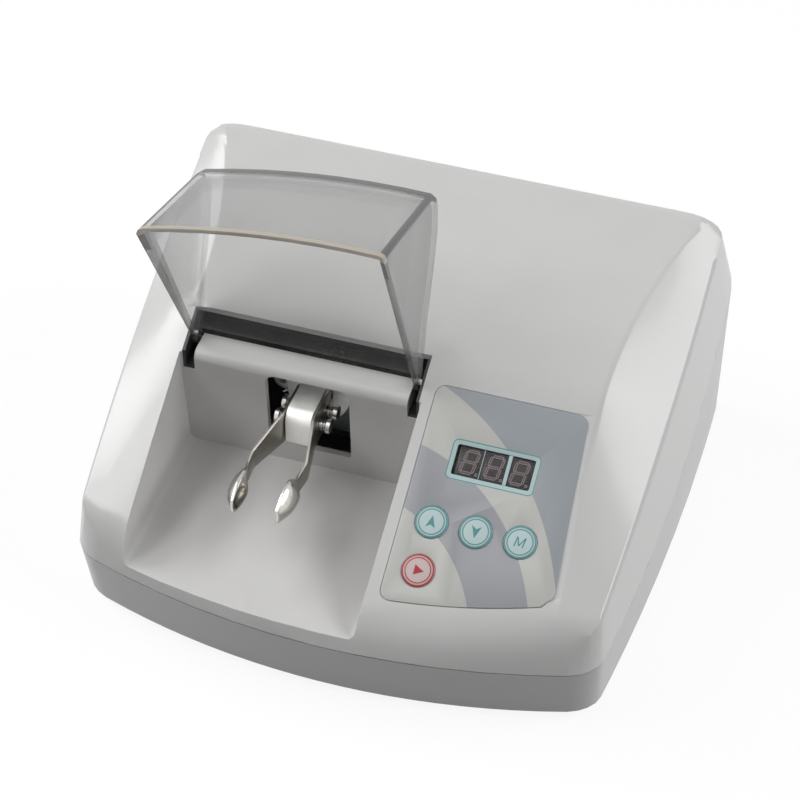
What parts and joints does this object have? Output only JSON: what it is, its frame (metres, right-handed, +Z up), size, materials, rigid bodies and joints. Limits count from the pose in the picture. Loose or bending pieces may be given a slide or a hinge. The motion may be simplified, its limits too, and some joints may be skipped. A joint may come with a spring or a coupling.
{
  "type": "dental amalgamator",
  "caption": "Bench capsule mixer with a white wedge housing, open clear lid over a spring fork in a mixing chamber, and a sloped membrane panel with a small display.",
  "frame": {"origin": "on the table under the middle of the body's footprint", "axes": "+Z up, -Y towards the user at the curved front, +X to the user's right"},
  "size_m": [0.2272, 0.2024, 0.1816],
  "materials": {
    "abs_white": "smooth moulded plastic",
    "abs_base": "smooth moulded plastic",
    "rubber": "matte",
    "screw_steel": "satin",
    "clear_acrylic": "polished clear",
    "black_foam": "matte foam",
    "membrane": "fine satin film",
    "smoked_window": "polished dark",
    "led_black": "moulded",
    "circuit_board": "solder mask",
    "black_plastic": "moulded",
    "grey_plastic": "moulded",
    "key_teal": "satin film",
    "key_red": "satin film",
    "brushed_aluminium": "brushed",
    "bearing_steel": "ground",
    "spring_steel": "bright rolled",
    "spring_wire": "drawn wire",
    "motor_steel": "plated",
    "zinc_steel": "zinc plated",
    "winding": "varnished"
  },
  "bodies": {
    "housing": {"upper_housing": "abs_white", "lower_base": "abs_base", "rubber_feet": "rubber", "housing_screws": "screw_steel", "lid_hinge_pins": "screw_steel", "slot_baffle": "black_foam", "hinge_brackets": "black_plastic", "control_overlay": "membrane", "display_window": "smoked_window", "digit_module": "led_black", "display_board": "circuit_board", "board_screws": "screw_steel", "key_switches": "black_plastic", "steady_springs": "spring_wire", "motor_body": "motor_steel", "motor_cradle": "zinc_steel", "motor_strap": "zinc_steel", "strap_screws": "screw_steel", "rubber_mounts": "rubber", "control_board": "circuit_board", "board_heatsink": "brushed_aluminium", "transformer": "winding", "power_inlet": "black_plastic", "switch_frame": "black_plastic", "inlet_screws": "screw_steel"},
    "lid": {"lid": "clear_acrylic"},
    "rotor": {"motor_shaft": "bearing_steel", "oblique_hub": "bearing_steel", "bearing_inner_ring": "bearing_steel", "cooling_fan": "black_plastic"},
    "rocker": {"rocker_block": "brushed_aluminium", "bearing_outer_ring": "bearing_steel", "bearing_balls": "bearing_steel", "arm_screws": "screw_steel", "arm_springs_left": "spring_wire", "arm_springs_right": "spring_wire"},
    "arm_left": {"fork_arm_left": "spring_steel"},
    "arm_right": {"fork_arm_right": "spring_steel"},
    "key_up": {"key_up": "key_teal"},
    "key_down": {"key_down": "key_teal"},
    "key_mode": {"key_mode": "key_teal"},
    "key_start": {"key_start": "key_red"},
    "power_rocker": {"switch_rocker": "grey_plastic"},
    "fuse_drawer": {"fuse_drawer": "grey_plastic"}
  },
  "joints": [
    {"name": "lid_hinge", "type": "hinge", "parent": "housing", "child": "lid", "pos_m": [-0.0336, -0.0083, 0.085], "axis": [1, 0, 0], "range_deg": [0, 97]},
    {"name": "motor_spin", "type": "hinge", "parent": "housing", "child": "rotor", "pos_m": [-0.0315, 0.002, 0.0602], "axis": [0, 1, 0], "continuous": true},
    {"name": "rocker_swing", "type": "hinge", "parent": "rotor", "child": "rocker", "pos_m": [-0.0315, 0.002, 0.0602], "axis": [0, 0.9976, -0.0698], "continuous": true},
    {"name": "arm_left_flex", "type": "hinge", "parent": "rocker", "child": "arm_left", "pos_m": [-0.03755, -0.00598, 0.06076], "axis": [0, -0.0698, -0.9976], "range_deg": [0, 7], "stiffness_Nm_per_rad": 2, "deforming": ["arm_springs_left"]},
    {"name": "arm_right_flex", "type": "hinge", "parent": "rocker", "child": "arm_right", "pos_m": [-0.02545, -0.00598, 0.06076], "axis": [0, 0.0698, 0.9976], "range_deg": [0, 7], "stiffness_Nm_per_rad": 2, "deforming": ["arm_springs_right"]},
    {"name": "key_up_press", "type": "slide", "parent": "housing", "child": "key_up", "axis": [0, 0.4848, -0.8746], "range_m": [0, 0.0004], "stiffness_N_per_m": 900},
    {"name": "key_down_press", "type": "slide", "parent": "housing", "child": "key_down", "axis": [0, 0.4848, -0.8746], "range_m": [0, 0.0004], "stiffness_N_per_m": 900},
    {"name": "key_mode_press", "type": "slide", "parent": "housing", "child": "key_mode", "axis": [0, 0.4848, -0.8746], "range_m": [0, 0.0004], "stiffness_N_per_m": 900},
    {"name": "key_start_press", "type": "slide", "parent": "housing", "child": "key_start", "axis": [0, 0.4848, -0.8746], "range_m": [0, 0.0004], "stiffness_N_per_m": 900},
    {"name": "power_switch", "type": "hinge", "parent": "housing", "child": "power_rocker", "pos_m": [-0.03, 0.0952, 0.034], "axis": [1, 0, 0], "range_deg": [0, 10]},
    {"name": "fuse_drawer_slide", "type": "slide", "parent": "housing", "child": "fuse_drawer", "axis": [0, 1, 0], "range_m": [0, 0.012]}
  ],
  "couplings": [
    {"joint": "rocker_swing", "follows": "motor_spin", "ratio": -1}
  ]
}
